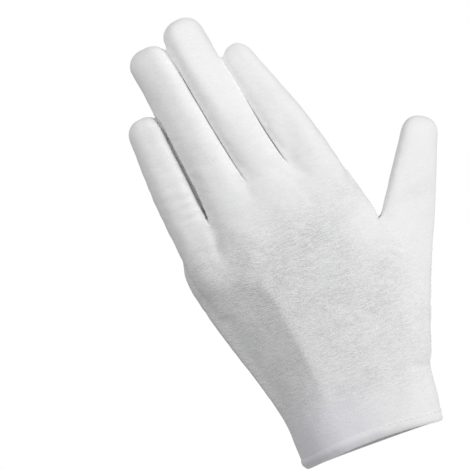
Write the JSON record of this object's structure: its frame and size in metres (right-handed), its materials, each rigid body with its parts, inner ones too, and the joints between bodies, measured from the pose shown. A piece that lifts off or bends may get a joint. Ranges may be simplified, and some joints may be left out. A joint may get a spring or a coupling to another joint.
{
  "type": "cotton glove",
  "caption": "Left-hand white cotton glove in the form of a raised hand, fingers together, with a set-in thumb and a folded hem, hollow and open at the cuff.",
  "frame": {"origin": "middle of the opening at the hem, where the hand goes in", "axes": "+Z from the hem towards the fingertips, +X towards the thumb, -Y out of the back of the hand"},
  "size_m": [0.1375, 0.054, 0.2223],
  "materials": {
    "cotton": "matte knitted cotton"
  },
  "bodies": {
    "root": {"back_panel": "cotton", "palm_panel": "cotton", "thumb": "cotton", "hem": "cotton"}
  },
  "joints": []
}
